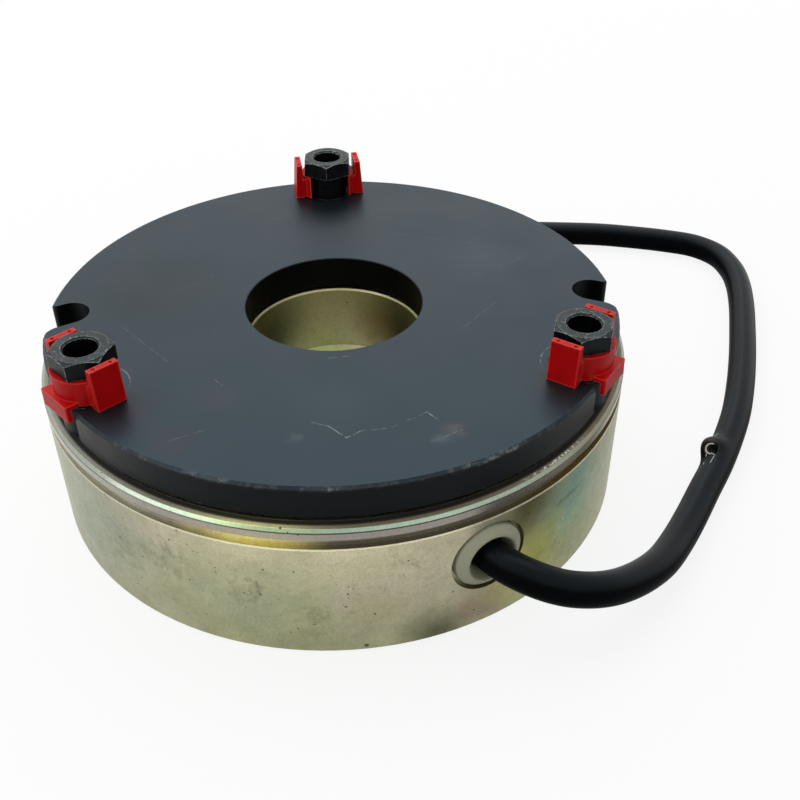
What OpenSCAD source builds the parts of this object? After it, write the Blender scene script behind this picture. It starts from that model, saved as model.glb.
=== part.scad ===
// Spring applied brake: the complete stator as it is shipped, lying on its rear face.
// The axis of the brake is Z, the rear face of the magnet housing is Z = 0 and the
// armature plate is at the top. All sizes are in millimetres.

/* [Magnet housing] */
// Outer diameter of the magnet housing
housing_d = 165; // [156:1:185]
// Height of the magnet housing from rear face to pole face
housing_h = 41.5; // [38:0.5:50]
// Diameter of the shaft bore above its ledge
shaft_bore_d = 50; // [40:1:54]
// Chamfer on the outer edge of the pole face
pole_edge_chamfer = 0.9; // [0.3:0.1:1.5]
// Chamfer on the outer edge of the rear face
rear_edge_chamfer = 0.6; // [0.3:0.1:1.5]
// Chamfer on both ends of the shaft bore
bore_chamfer = 0.5; // [0.3:0.1:1.5]
// Width of the slanted ledge in the shaft bore
bore_ledge = 1.5; // [0.5:0.1:2]
// Height of the ledge's upper edge above the rear face
bore_ledge_h = 21; // [12:0.5:28]
// Height of the land between the pole face and the dust ring groove
groove_land = 3.0; // [2:0.1:5]
// Width of the dust ring groove
groove_w = 2.7; // [1.5:0.1:4]
// Depth of the dust ring groove
groove_depth = 1.6; // [0.8:0.1:2]

/* [Magnet coil] */
// Radial width of the inner pole ring, between the shaft bore and the coil chamber
inner_pole_w = 15; // [14:0.5:17]
// Radial width of the outer pole ring, between the coil chamber and the rim
outer_pole_w = 20.5; // [19.5:0.5:23]
// Depth of the coil chamber below the pole face
coil_chamber_depth = 30; // [27:0.5:32]
// Wall thickness of the coil bobbin
bobbin_wall = 1.5; // [1:0.1:2.5]
// Distance of the copper winding from the outer wall of the coil chamber
winding_margin = 3.3; // [1.5:0.1:6]
// Thickness of the cast resin above the bobbin
resin_t = 5.2; // [3:0.1:7]
// Depth of the cast resin surface below the pole face
resin_recess = 0.8; // [0.4:0.1:2]

/* [Armature plate] */
// Distance of the plate's rim inside the rim of the housing
plate_inset = 2.5; // [1.5:0.1:4]
// Thickness of the armature plate
plate_t = 9.5; // [8:0.5:12]
// Distance of the plate's hole outside the shaft bore
plate_bore_step = 0; // [0:0.05:1.5]
// Air gap between the pole face and the plate with the clips fitted
air_gap = 1.3; // [0.6:0.1:2]
// Chamfer on the outer rims of the armature plate
plate_chamfer = 0.7; // [0.3:0.1:1.2]
// Chamfer on the edges of the plate's hole
plate_bore_chamfer = 0.25; // [0.1:0.05:1.2]
// Width of the two notches for the hand release bolts
release_notch_w = 11; // [8:0.5:12]
// Tilt of the notches from the radial direction towards the front bolts
release_tilt = 26; // [0:1:30]
// Rounding of the plate between a notch and the front bolt beside it
ear_r = 6; // [2:0.5:7]
// Rounding of the plate's tip on the other side of a notch
notch_tip_r = 1.5; // [0.5:0.1:2.5]
// Distance of the notches and the release holes inside the rim of the housing
release_inset = 8.5; // [7.5:0.5:9.5]
// Diameter of the hand release holes through the housing
release_hole_d = 6.6; // [5:0.1:8]

/* [Sleeve bolts] */
// Distance of the sleeve bolts inside the rim of the housing
bolt_inset = 10; // [9:0.25:11]
// Diameter of the mounting screw holes in the housing
screw_hole_d = 9; // [8.4:0.1:9.4]
// Diameter of the through hole of a sleeve bolt
sleeve_hole_d = 8.6; // [8.2:0.1:9]
// Diameter of the sleeve shank
sleeve_d = 12; // [11.5:0.1:12.6]
// Diameter of the guide collar that the armature plate slides on
guide_d = 15.8; // [14:0.1:16.2]
// Depth to which the tapped hole for a sleeve bolt reaches
tapped_depth = 20; // [14:0.5:24]
// Width of the hexagon across its flats
hex_af = 14.5; // [14:0.1:15.2]
// Height of the hexagon
hex_h = 5; // [4:0.1:8]

/* [Transport clips] */
// Height of a clip between the armature plate and the hexagon
clip_h = 7.2; // [5:0.1:10]
// Wall thickness of the clip collar
collar_t = 2.3; // [2.1:0.1:3.2]
// Width of the upright tabs
tab_w = 8; // [6:0.5:10]
// Height of the upright tabs above the plate
tab_h = 11.2; // [8:0.1:12]
// Thickness of a tab at its top
tab_t = 1.8; // [1.2:0.1:2.5]
// Thickness of a tab at its foot
tab_foot_t = 2.6; // [2:0.1:3.5]
// Width of the clip base
clip_base_w = 12; // [8:0.5:12.5]
// Thickness of the clip base
clip_base_t = 1.2; // [1:0.1:2]
// Distance of the lip from the rim of the plate
lip_play = 1; // [0.8:0.1:1.6]
// Thickness of the lip at the end of the clip base
lip_t = 1.4; // [1:0.1:1.5]
// Drop of the lip below the top of the plate
lip_drop = 3; // [1:0.1:4]

/* [Springs] */
// Wire diameter of a compression spring
spring_wire_d = 1.6; // [1:0.1:1.8]
// Outer diameter of a compression spring
spring_od = 8.4; // [7:0.1:8.6]
// Depth of a spring pocket below the pole face
spring_pocket_depth = 26; // [20:0.5:30]

/* [Supply cable] */
// Diameter of the cable sheath
cable_d = 9; // [8:0.1:9.4]
// Distance of the cable's exit below the pole face
cable_exit_drop = 18.5; // [17.5:0.5:20]
// Diameter of the grommet flange
grommet_flange_d = 19.7; // [17:0.1:22]
// Thickness of the grommet flange at its rim
grommet_flange_t = 2.2; // [1.5:0.1:3]
// Diameter of the lip round the grommet's mouth
grommet_lip_d = 13.4; // [12.6:0.1:14.5]
// Height of the lip above the rim of the flange
grommet_lip_rise = 1.6; // [0.5:0.1:2.5]
// Diameter of the grommet neck in the housing
grommet_neck_d = 15; // [13.5:0.5:16]
// Length of the grommet neck
grommet_neck_len = 11; // [8:0.5:13]
// Diameter of one lead core over its insulation
core_d = 2.6; // [2:0.1:3]
// Length of the lead cores beyond the sheath
core_len = 30; // [20:1:40]
// Length of an end ferrule
ferrule_len = 9; // [6:0.5:12]

/* [Hidden] */
$fn = 96;

// Places round the axis: angle of each sleeve bolt, and how far the hexagon and the
// clip on it are turned from the radial direction
REAR = 0;
LEFT = 1;
RIGHT = 2;
bolt_angle = [90, 210, 330];
hex_turn = [-3, 41, 43];
clip_turn = [6, 10, -8];
release_angle = [0, 180];
spring_count = 6;
spring_first_angle = 20;

// Clearances, and how far cuts and roundings run past the faces that they meet
cut = 1;
overlap = 0.01;
graze = 0.1;
seat_gap = 0.1;
slide_gap = 0.3;
thread_gap = 0.05;
spring_play = 0.4;
spring_end_gap = 0.05;
foot_gap = 0.5;
guide_gap = 0.5;
guide_step = 0.8;
cable_play = 0.4;
flange_play = 0.7;
flange_recess = 0.3;

// Heights
plate_z = housing_h + air_gap;
plate_top = plate_z + plate_t;
hex_z = plate_top + clip_h;
hex_top = hex_z + hex_h;
chamber_z = housing_h - coil_chamber_depth;
tapped_z = housing_h - tapped_depth;
spring_z = housing_h - spring_pocket_depth;
resin_top = housing_h - resin_recess;
bobbin_top = resin_top - resin_t;
cable_exit_z = housing_h - cable_exit_drop;

// Radii
housing_r = housing_d / 2;
bore_r = shaft_bore_d / 2;
ledge_r = bore_r - bore_ledge;
chamber_inner_r = bore_r + inner_pole_w;
chamber_outer_r = housing_r - outer_pole_w;
plate_r = housing_r - plate_inset;
plate_bore_r = bore_r + plate_bore_step;
release_r = housing_r - release_inset;
bolt_r = housing_r - bolt_inset;
slot_r = guide_d / 2 + slide_gap;
hex_corner_r = hex_af / sqrt(3);
clip_bore_r = sleeve_d / 2 + slide_gap;
collar_r = clip_bore_r + collar_t;
clip_reach = plate_r - bolt_r + lip_play + lip_t;
tab_inner_y = hex_corner_r + slide_gap;
spring_circle_r = (bore_r + chamber_inner_r) / 2;
spring_pocket_d = spring_od + 2 * spring_play;
cable_way_d = cable_d + 2 * cable_play;
flange_seat_r = housing_r - grommet_flange_t - flange_recess;

// Cable route, laid out round a housing of route_housing_d: x, y and the share of the
// exit's height at which the sheath's underside is
route_housing_d = 165;
CABLE_ROUTE = [
    [28, -60, 1], [32, -69, 1], [35.5, -74.5, 0.985], [40, -79, 0.955], [46, -82, 0.877],
    [52, -83, 0.775], [58, -82.5, 0.678], [64, -80.5, 0.565], [70, -77, 0.44],
    [76.5, -72, 0.315], [83, -65.5, 0.19], [89.7, -56.7, 0.082], [96.6, -46.8, 0.02],
    [104, -35.7, 0], [111.6, -24.6, 0], [119.1, -12.3, 0], [125.8, 0.1, 0],
    [132.4, 15.1, 0], [138.2, 30.1, 0], [143.8, 46.1, 0], [149.3, 63, 0],
    [153.1, 78.1, 0], [154.2, 90, 0], [152.3, 100.9, 0], [145.7, 109.3, 0],
    [136.2, 114.1, 0], [124.1, 118.4, 0], [110.1, 122.3, 0], [96, 124.6, 0],
    [80, 126.5, 0], [62, 127.5, 0], [44, 127, 0], [26, 126, 0], [8, 124, 0],
    [-10, 121, 0], [-27, 116.5, 0], [-43, 110.5, 0], [-58, 102.5, 0]
];
route_scale = housing_d / route_housing_d;
cable_angle = -65;
cable_sides = 12;
cable_path = [for (p = CABLE_ROUTE)
    [p[0] * route_scale, p[1] * route_scale,
        cable_d / 2 + p[2] * (cable_exit_z - cable_d / 2)]];

// Colours
zinc_yellow = "#b9b487";
plate_grey = "#4a545c";
black_oxide = "#33383b";
clip_red = "#c01818";
nylon_white = "#9aa092";
sheath_black = "#22272c";

// Unit vector along v
function unit(v) = v / norm(v);

// Direction of a path at point i, from its neighbours
function heading(path, i) =
    unit(path[min(i + 1, len(path) - 1)] - path[max(i - 1, 0)]);

// Ring of points round point i of a path, square to the path
function ring(path, i, radius, sides) =
    let (along = heading(path, i))
    let (side = unit(cross([0, 0, 1], along)))
    let (rise = cross(along, side))
    [for (k = [0 : sides - 1])
        path[i] + radius * (cos(k * 360 / sides) * side + sin(k * 360 / sides) * rise)];

// Closed round tube along a path
module tube(path, radius, sides) {
    last = len(path) - 1;
    rings = [for (i = [0 : last]) each ring(path, i, radius, sides)];
    walls = [for (i = [0 : last - 1], k = [0 : sides - 1])
        let (here = i * sides, ahead = here + sides, next = (k + 1) % sides)
        each [
            [here + k, ahead + k, ahead + next],
            [here + k, ahead + next, here + next]
        ]];
    start_cap = [[for (k = [0 : sides - 1]) k]];
    end_cap = [[for (k = [sides - 1 : -1 : 0]) last * sides + k]];
    polyhedron(points = rings, faces = concat(walls, start_cap, end_cap), convexity = 10);
}

// Children turned to an angle round the axis and moved out to a radius
module at_polar(angle, radius) {
    rotate(angle)
        translate([radius, 0, 0])
            children();
}

// Children laid along the cable's way out of the housing, +Z outwards
module on_cable_axis() {
    rotate(cable_angle)
        translate([0, 0, cable_exit_z])
            rotate([0, 90, 0])
                children();
}

// Ring of rectangular section
module section_ring(inner_r, outer_r, z0, z1) {
    rotate_extrude()
        translate([inner_r, z0])
            square([outer_r - inner_r, z1 - z0]);
}

// Plan of a slot with a round inner end that is open outwards
module open_slot(width) {
    circle(d = width);
    translate([0, -width / 2])
        square([housing_r, width]);
}

// Turned outline of the housing: stepped bore, chamfered edges and dust ring groove
module housing_profile() {
    groove_top = housing_h - groove_land;
    groove_low = groove_top - groove_w;
    polygon([
        [ledge_r + bore_chamfer, 0],
        [housing_r - rear_edge_chamfer, 0],
        [housing_r, rear_edge_chamfer],
        [housing_r, groove_low],
        [housing_r - groove_depth, groove_low],
        [housing_r - groove_depth, groove_top],
        [housing_r, groove_top],
        [housing_r, housing_h - pole_edge_chamfer],
        [housing_r - pole_edge_chamfer, housing_h],
        [bore_r + bore_chamfer, housing_h],
        [bore_r, housing_h - bore_chamfer],
        [bore_r, bore_ledge_h],
        [ledge_r, bore_ledge_h - bore_ledge],
        [ledge_r, bore_chamfer]
    ]);
}

// Steel pot with the coil chamber, spring pockets and all holes
module magnet_housing() {
    color(zinc_yellow)
        difference() {
            rotate_extrude()
                housing_profile();
            section_ring(chamber_inner_r, chamber_outer_r, chamber_z, housing_h + cut);
            for (angle = bolt_angle)
                at_polar(angle, bolt_r) {
                    translate([0, 0, -cut])
                        cylinder(d = screw_hole_d, h = housing_h + 2 * cut);
                    translate([0, 0, tapped_z])
                        cylinder(d = sleeve_d + 2 * thread_gap, h = tapped_depth + cut);
                }
            for (angle = release_angle)
                at_polar(angle, release_r)
                    translate([0, 0, -cut])
                        cylinder(d = release_hole_d, h = housing_h + 2 * cut);
            for (i = [0 : spring_count - 1])
                at_polar(spring_first_angle + i * 360 / spring_count, spring_circle_r)
                    translate([0, 0, spring_z])
                        cylinder(d = spring_pocket_d, h = spring_pocket_depth + cut);
            on_cable_axis() {
                translate([0, 0, chamber_outer_r - cut])
                    cylinder(d = cable_way_d, h = housing_r);
                translate([0, 0, flange_seat_r - grommet_neck_len - seat_gap])
                    cylinder(d = grommet_neck_d + 2 * seat_gap, h = housing_r);
                translate([0, 0, flange_seat_r])
                    cylinder(d = grommet_flange_d + 2 * flange_play, h = housing_r);
            }
        }
}

// Plastic bobbin that stands on the floor of the coil chamber
module coil_bobbin() {
    inner_r = chamber_inner_r + seat_gap;
    outer_r = chamber_outer_r - seat_gap;
    color("#d8d2bd")
        rotate_extrude()
            polygon([
                [inner_r, chamber_z],
                [outer_r, chamber_z],
                [outer_r, chamber_z + bobbin_wall],
                [inner_r + bobbin_wall, chamber_z + bobbin_wall],
                [inner_r + bobbin_wall, bobbin_top - bobbin_wall],
                [outer_r, bobbin_top - bobbin_wall],
                [outer_r, bobbin_top],
                [inner_r, bobbin_top]
            ]);
}

// Copper winding between the flanges of the bobbin
module coil_winding() {
    color("#b5683a")
        section_ring(chamber_inner_r + bobbin_wall + 2 * seat_gap,
            chamber_outer_r - winding_margin,
            chamber_z + bobbin_wall, bobbin_top - bobbin_wall - seat_gap);
}

// Cast resin that closes the coil chamber above the bobbin
module potting_ring() {
    color("#3a3d3f")
        section_ring(chamber_inner_r + seat_gap, chamber_outer_r - seat_gap,
            bobbin_top, resin_top);
}

// Turned outline of the armature plate with all edges chamfered
module plate_profile() {
    polygon([
        [plate_bore_r + plate_bore_chamfer, plate_z],
        [plate_r - plate_chamfer, plate_z],
        [plate_r, plate_z + plate_chamfer],
        [plate_r, plate_top - plate_chamfer],
        [plate_r - plate_chamfer, plate_top],
        [plate_bore_r + plate_bore_chamfer, plate_top],
        [plate_bore_r, plate_top - plate_bore_chamfer],
        [plate_bore_r, plate_z + plate_bore_chamfer]
    ]);
}

// Plan of what is rounded off a corner between the right notch and the rim: a kite from the
// centre of the rounding out past the corner, without the rounding's disc
module notch_corner(side, radius) {
    along = [cos(release_tilt), -sin(release_tilt)];
    across = [sin(release_tilt), cos(release_tilt)];
    line = [release_r, 0] + side * (release_notch_w / 2 + radius - graze) * across;
    centre_r = plate_r - radius + graze;
    foot = line * along;
    centre = line + (sqrt(foot * foot - line * line + centre_r * centre_r) - foot) * along;
    out = unit(centre);
    notch_end = centre - side * (radius + cut) * across;
    rim_end = centre + (radius + cut) * out;
    tip = notch_end + (rim_end - notch_end) * out / (along * out) * along;
    difference() {
        polygon([centre, notch_end, tip, rim_end]);
        translate(centre)
            circle(r = radius);
    }
}

// Plan of the right notch for a hand release bolt, with its corners rounded
module release_notch() {
    translate([release_r, 0])
        rotate(-release_tilt)
            open_slot(release_notch_w);
    notch_corner(-1, ear_r);
    notch_corner(1, notch_tip_r);
}

// Steel plate that the springs push and the coil pulls
module armature_plate() {
    color(plate_grey)
        difference() {
            rotate_extrude()
                plate_profile();
            for (angle = bolt_angle)
                at_polar(angle, bolt_r)
                    translate([0, 0, plate_z - cut])
                        linear_extrude(plate_t + 2 * cut)
                            open_slot(2 * slot_r);
            for (side = [0, 1])
                mirror([side, 0, 0])
                    translate([0, 0, plate_z - cut])
                        linear_extrude(plate_t + 2 * cut)
                            release_notch();
        }
}

// Turned envelope that chamfers the top corners of a hexagon at 30 degrees
module hex_envelope() {
    face_r = hex_af * 0.483;
    hull_r = hex_corner_r + overlap;
    rotate_extrude()
        polygon([
            [0, hex_z],
            [hull_r, hex_z],
            [hull_r, hex_top - (hull_r - face_r) * tan(30)],
            [face_r, hex_top],
            [0, hex_top]
        ]);
}

// Hollow hexagon bolt: shank, guide collar in the plate's slot and through hole
module sleeve_bolt(which) {
    foot_z = tapped_z + foot_gap;
    mouth = 0.5;
    color(black_oxide)
        at_polar(bolt_angle[which], bolt_r)
            difference() {
                union() {
                    intersection() {
                        translate([0, 0, hex_z])
                            rotate(hex_turn[which])
                                cylinder(r = hex_corner_r, h = hex_h, $fn = 6);
                        hex_envelope();
                    }
                    translate([0, 0, foot_z])
                        cylinder(d = sleeve_d, h = hex_z - foot_z + hex_h / 2);
                    translate([0, 0, housing_h + guide_gap])
                        cylinder(d = guide_d, h = plate_top - housing_h - guide_gap - guide_step);
                }
                translate([0, 0, foot_z - cut])
                    cylinder(d = sleeve_hole_d, h = hex_top - foot_z + 2 * cut);
                translate([0, 0, hex_top - mouth])
                    cylinder(d1 = sleeve_hole_d, d2 = sleeve_hole_d + 4 * mouth, h = 2 * mouth);
            }
}

// Plan of the clip collar: a ring that is open towards the brake's axis
module collar_plan() {
    difference() {
        circle(r = collar_r);
        circle(r = clip_bore_r);
        translate([-2 * collar_r, -clip_bore_r])
            square([2 * collar_r, 2 * clip_bore_r]);
    }
}

// Plan of the clip base with its outer corners broken
module clip_base_plan() {
    corner = 0.4;
    half = clip_base_w / 2;
    translate([0, -half])
        square([clip_reach - corner, clip_base_w]);
    translate([0, corner - half])
        square([clip_reach, clip_base_w - 2 * corner]);
    for (side = [-1, 1])
        translate([clip_reach - corner, side * (half - corner)])
            circle(r = corner);
}

// Plan of the lip at the outer end of the clip base
module lip_plan() {
    intersection() {
        clip_base_plan();
        translate([clip_reach - lip_t, -clip_base_w / 2])
            square([lip_t, clip_base_w]);
    }
}

// One upright tab: a wedge that is thicker at its foot, with two ejector marks on top
module clip_tab() {
    mark_d = 1.2;
    mark_depth = 0.4;
    difference() {
        translate([-tab_w / 2, 0, 0])
            rotate([90, 0, 90])
                linear_extrude(tab_w)
                    polygon([
                        [tab_inner_y, 0],
                        [tab_inner_y + tab_foot_t, 0],
                        [tab_inner_y + tab_t, tab_h],
                        [tab_inner_y, tab_h]
                    ]);
        for (side = [-1, 1])
            translate([side * tab_w * 0.3, tab_inner_y + tab_t / 2, tab_h - mark_depth])
                cylinder(d = mark_d, h = mark_depth + cut);
    }
}

// Plastic clip that keeps the plate off the hexagon until the brake is fitted
module transport_clip(which) {
    collar_top = clip_h - seat_gap;
    web_y = clip_bore_r + collar_t / 4;
    web_top = collar_top - collar_t / 3;
    web_root = tab_foot_t * 0.4;
    color(clip_red)
        at_polar(bolt_angle[which], bolt_r)
            rotate(clip_turn[which])
                translate([0, 0, plate_top])
                    difference() {
                        union() {
                            translate([0, 0, slide_gap])
                                linear_extrude(collar_top - slide_gap)
                                    collar_plan();
                            translate([0, 0, slide_gap])
                                linear_extrude(clip_base_t)
                                    clip_base_plan();
                            translate([0, 0, -lip_drop])
                                linear_extrude(lip_drop + clip_base_t)
                                    lip_plan();
                            for (side = [0, 1])
                                mirror([0, side, 0]) {
                                    clip_tab();
                                    translate([-tab_w / 2, web_y, slide_gap])
                                        cube([tab_w, tab_inner_y + web_root - web_y,
                                            web_top - slide_gap]);
                                }
                        }
                        translate([0, 0, -cut])
                            cylinder(r = clip_bore_r, h = collar_top + 2 * cut);
                    }
}

// Share of a spring's free rise at turn t: closed end coils, then an even pitch
function coil_rise(t, turns) =
    let (closed = spring_wire_d)
    let (reach = spring_pocket_depth + air_gap - spring_end_gap - spring_wire_d)
    let (pitch = (reach - 2 * closed) / (turns - 2))
    t < 1 ? t * closed
    : t > turns - 1 ? reach - (turns - t) * closed
    : closed + (t - 1) * pitch;

// Helical compression spring between its pocket and the armature plate
module compression_spring(index) {
    turns = 7;
    steps = 14;
    coil_r = (spring_od - spring_wire_d) / 2;
    path = [for (i = [0 : turns * steps])
        [coil_r * cos(i * 360 / steps), coil_r * sin(i * 360 / steps),
            spring_z + spring_wire_d / 2 + coil_rise(i / steps, turns)]];
    color("#a9adb0")
        at_polar(spring_first_angle + (index - 1) * 360 / spring_count, spring_circle_r)
            tube(path, spring_wire_d / 2, 6);
}

// Moulded grommet: neck, flange that rises to a lip, and a mouth that flares to the lip
module cable_grommet() {
    lip_land = 0.7;
    flange_rim = flange_seat_r + grommet_flange_t;
    flare_depth = grommet_flange_t + grommet_lip_rise;
    color(nylon_white)
        on_cable_axis()
            difference() {
                union() {
                    translate([0, 0, flange_seat_r])
                        cylinder(d = grommet_flange_d, h = grommet_flange_t);
                    translate([0, 0, flange_rim])
                        cylinder(d1 = grommet_flange_d, d2 = grommet_lip_d + 2 * lip_land,
                            h = grommet_lip_rise);
                    translate([0, 0, flange_seat_r - grommet_neck_len])
                        cylinder(d = grommet_neck_d, h = grommet_neck_len + grommet_flange_t / 2);
                }
                translate([0, 0, flange_seat_r - grommet_neck_len - cut])
                    cylinder(d = cable_way_d, h = grommet_neck_len + grommet_flange_t + 2 * cut);
                translate([0, 0, flange_seat_r])
                    cylinder(d1 = cable_way_d, d2 = grommet_lip_d, h = flare_depth + overlap);
            }
}

// Round sheathed cable along its route
module supply_cable() {
    color(sheath_black)
        tube(cable_path, cable_d / 2, cable_sides);
}

// Frame at the cable's cut end: place, heading and the direction to its left
cable_end = cable_path[len(cable_path) - 1];
cable_end_heading = heading(cable_path, len(cable_path) - 1);
cable_end_left = cross([0, 0, 1], cable_end_heading);

// Wall of a ferrule's collar
ferrule_wall = 0.3;

// Way of one core from the sheath down to the surface, to the left or right
function core_path(side) =
    let (rest_z = core_d / 2 + ferrule_wall + seat_gap)
    let (spread = cable_d * 0.2)
    [for (step = [0, 0.15, 0.3, 0.45, 0.6, 0.8, 1])
        let (bow = step * step * (3 - 2 * step))
        let (flat = cable_end + cable_end_heading * core_len * step
            + cable_end_left * side * spread * (1 + 1.5 * bow))
        [flat[0], flat[1], cable_end[2] + (rest_z - cable_end[2]) * bow]];

// Insulated core between the sheath and its ferrule
module lead_core(side, tint) {
    color(tint)
        tube(core_path(side), core_d / 2, 8);
}

// Tinned sleeves crimped on the ends of both cores
module end_ferrules() {
    collar_len = 2;
    color("#c4c7c9")
        for (side = [-1, 1]) {
            path = core_path(side);
            tip = path[len(path) - 1];
            course = heading(path, len(path) - 1);
            translate(tip)
                rotate([0, 0, atan2(course[1], course[0])])
                    rotate([0, acos(course[2]), 0]) {
                        cylinder(d = core_d + 2 * ferrule_wall, h = collar_len);
                        cylinder(d = core_d * 0.65, h = ferrule_len);
                    }
        }
}

magnet_housing();
coil_bobbin();
coil_winding();
potting_ring();
armature_plate();
sleeve_bolt(REAR);  // sleeve_bolt_rear
sleeve_bolt(LEFT);  // sleeve_bolt_left
sleeve_bolt(RIGHT);  // sleeve_bolt_right
transport_clip(REAR);  // transport_clip_rear
transport_clip(LEFT);  // transport_clip_left
transport_clip(RIGHT);  // transport_clip_right
compression_spring(1);  // compression_spring_1
compression_spring(2);  // compression_spring_2
compression_spring(3);  // compression_spring_3
compression_spring(4);  // compression_spring_4
compression_spring(5);  // compression_spring_5
compression_spring(6);  // compression_spring_6
cable_grommet();
supply_cable();
lead_core(-1, "#6b4a2f");  // lead_core_1
lead_core(1, "#2f4f86");  // lead_core_2
end_ferrules();
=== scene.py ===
"""Spring applied brake: finishes and fine forms over its solids, one operator for each piece."""

import math
from functools import partial

import bmesh
import bpy
import numpy as np
from mathutils import Matrix, Vector


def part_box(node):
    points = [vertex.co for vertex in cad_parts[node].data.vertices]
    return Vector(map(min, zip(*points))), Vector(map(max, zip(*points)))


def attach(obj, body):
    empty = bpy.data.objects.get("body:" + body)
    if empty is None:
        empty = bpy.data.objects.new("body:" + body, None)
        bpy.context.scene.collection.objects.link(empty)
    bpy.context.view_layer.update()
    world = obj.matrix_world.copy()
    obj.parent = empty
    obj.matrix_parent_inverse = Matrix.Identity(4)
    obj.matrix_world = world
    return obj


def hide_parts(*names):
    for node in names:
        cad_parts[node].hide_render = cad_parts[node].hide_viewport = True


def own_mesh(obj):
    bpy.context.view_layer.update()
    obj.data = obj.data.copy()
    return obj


bl_info = {
    "name": "Spring applied brake",
    "version": (1, 0, 0),
    "blender": (4, 5, 0),
    "location": "View3D > Sidebar > Brake",
    "description": "Builds the finished look of a spring applied brake on its solids",
    "category": "Object",
}

MM = 0.001
FULL_TURN = 2 * math.pi

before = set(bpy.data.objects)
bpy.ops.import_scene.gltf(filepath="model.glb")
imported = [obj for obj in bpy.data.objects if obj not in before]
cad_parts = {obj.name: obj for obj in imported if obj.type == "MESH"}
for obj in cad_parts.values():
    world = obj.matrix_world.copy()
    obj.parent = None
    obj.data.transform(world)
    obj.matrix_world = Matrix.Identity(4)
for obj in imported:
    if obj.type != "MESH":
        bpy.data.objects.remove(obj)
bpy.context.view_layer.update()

# Places on the brake, in millimetres and degrees
HOUSING_R = 82.5
BORE_R = 25.0
BOLT_CIRCLE_R = 72.5
BOLT_ANGLES = {"rear": 90, "left": 210, "right": 330}
SPRING_CIRCLE_R = 32.5
SPRING_FIRST_ANGLE = 20
SPRING_COUNT = 6
CABLE_ANGLE = -65
CABLE_EXIT_Z = 23.0

# Cable route: x, y and the share of the exit's height at which the underside is
CABLE_ROUTE = np.array([
    [28, -60, 1], [32, -69, 1], [35.5, -74.5, 0.985], [40, -79, 0.955], [46, -82, 0.877],
    [52, -83, 0.775], [58, -82.5, 0.678], [64, -80.5, 0.565], [70, -77, 0.44],
    [76.5, -72, 0.315], [83, -65.5, 0.19], [89.7, -56.7, 0.082], [96.6, -46.8, 0.02],
    [104, -35.7, 0], [111.6, -24.6, 0], [119.1, -12.3, 0], [125.8, 0.1, 0],
    [132.4, 15.1, 0], [138.2, 30.1, 0], [143.8, 46.1, 0], [149.3, 63, 0],
    [153.1, 78.1, 0], [154.2, 90, 0], [152.3, 100.9, 0], [145.7, 109.3, 0],
    [136.2, 114.1, 0], [124.1, 118.4, 0], [110.1, 122.3, 0], [96, 124.6, 0],
    [80, 126.5, 0], [62, 127.5, 0], [44, 127, 0], [26, 126, 0], [8, 124, 0],
    [-10, 121, 0], [-27, 116.5, 0], [-43, 110.5, 0], [-58, 102.5, 0],
])


def linear(code):
    """Linear RGBA of an sRGB hex colour."""
    s = np.array([int(code[i:i + 2], 16) / 255 for i in (1, 3, 5)])
    rgb = np.where(s <= 0.04045, s / 12.92, ((s + 0.055) / 1.055) ** 2.4)
    return (*rgb.tolist(), 1.0)


def size(name, description, default):
    """A length in metres that the user may change, with its default in millimetres."""
    return bpy.props.FloatProperty(
        name=name, description=description, default=default * MM, min=0.0, precision=5,
        unit="LENGTH")


def tint(name, description, code):
    """A colour that the user may change."""
    return bpy.props.FloatVectorProperty(
        name=name, description=description, default=linear(code), size=4, min=0.0, max=1.0,
        subtype="COLOR")


class BrakeSizes(bpy.types.PropertyGroup):
    """Lengths of the fine forms."""
    cable_d: size("Cable", "Diameter of the cable sheath", 9.0)
    cable_len: size("Cable length", "Length of the sheathed cable from the housing", 465)
    core_d: size("Core", "Diameter of a lead core over its insulation", 2.6)
    core_len: size("Core length", "Length of the lead cores beyond the sheath", 30)
    ferrule_len: size("Ferrule length", "Length of an end ferrule", 9)
    spring_d: size("Spring", "Outer diameter of a compression spring", 8.4)
    wire_d: size("Spring wire", "Wire diameter of a compression spring", 1.6)
    steel_edge: size("Steel edge", "Rounding of turned steel edges", 0.2)
    bolt_edge: size("Bolt edge", "Rounding of the hexagon's edges", 0.22)
    clip_edge: size("Clip edge", "Rounding of the moulded clips' edges", 0.3)
    grommet_edge: size("Grommet edge", "Rounding of the grommet's rim", 0.9)


class BrakeColours(bpy.types.PropertyGroup):
    """Main colours of the finishes."""
    zinc: tint("Zinc", "Yellow passivated zinc on the housing", "#b0af92")
    plate: tint("Plate", "Phosphated steel of the armature plate", "#232e35")
    plate_rim: tint("Plate rim", "Turned rim of the armature plate", "#0a0e11")
    bolt: tint("Bolts", "Black oxide on the sleeve bolts", "#111516")
    clip: tint("Clips", "Moulded plastic of the transport clips", "#c20307")
    grommet: tint("Grommet", "Natural nylon of the cable grommet", "#acaf94")
    sheath: tint("Sheath", "Soft PVC of the cable sheath", "#090c0e")


# Settings of a node that mixes colours, and of one that multiplies
COLOUR = {"data_type": "RGBA"}
PRODUCT = {"operation": "MULTIPLY"}


def fill(tree, pairs):
    """Links each input to its value where that is a socket, and sets it where it is plain."""
    for socket, value in pairs:
        if isinstance(value, bpy.types.NodeSocket):
            tree.links.new(value, socket)
        else:
            socket.default_value = value


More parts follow.
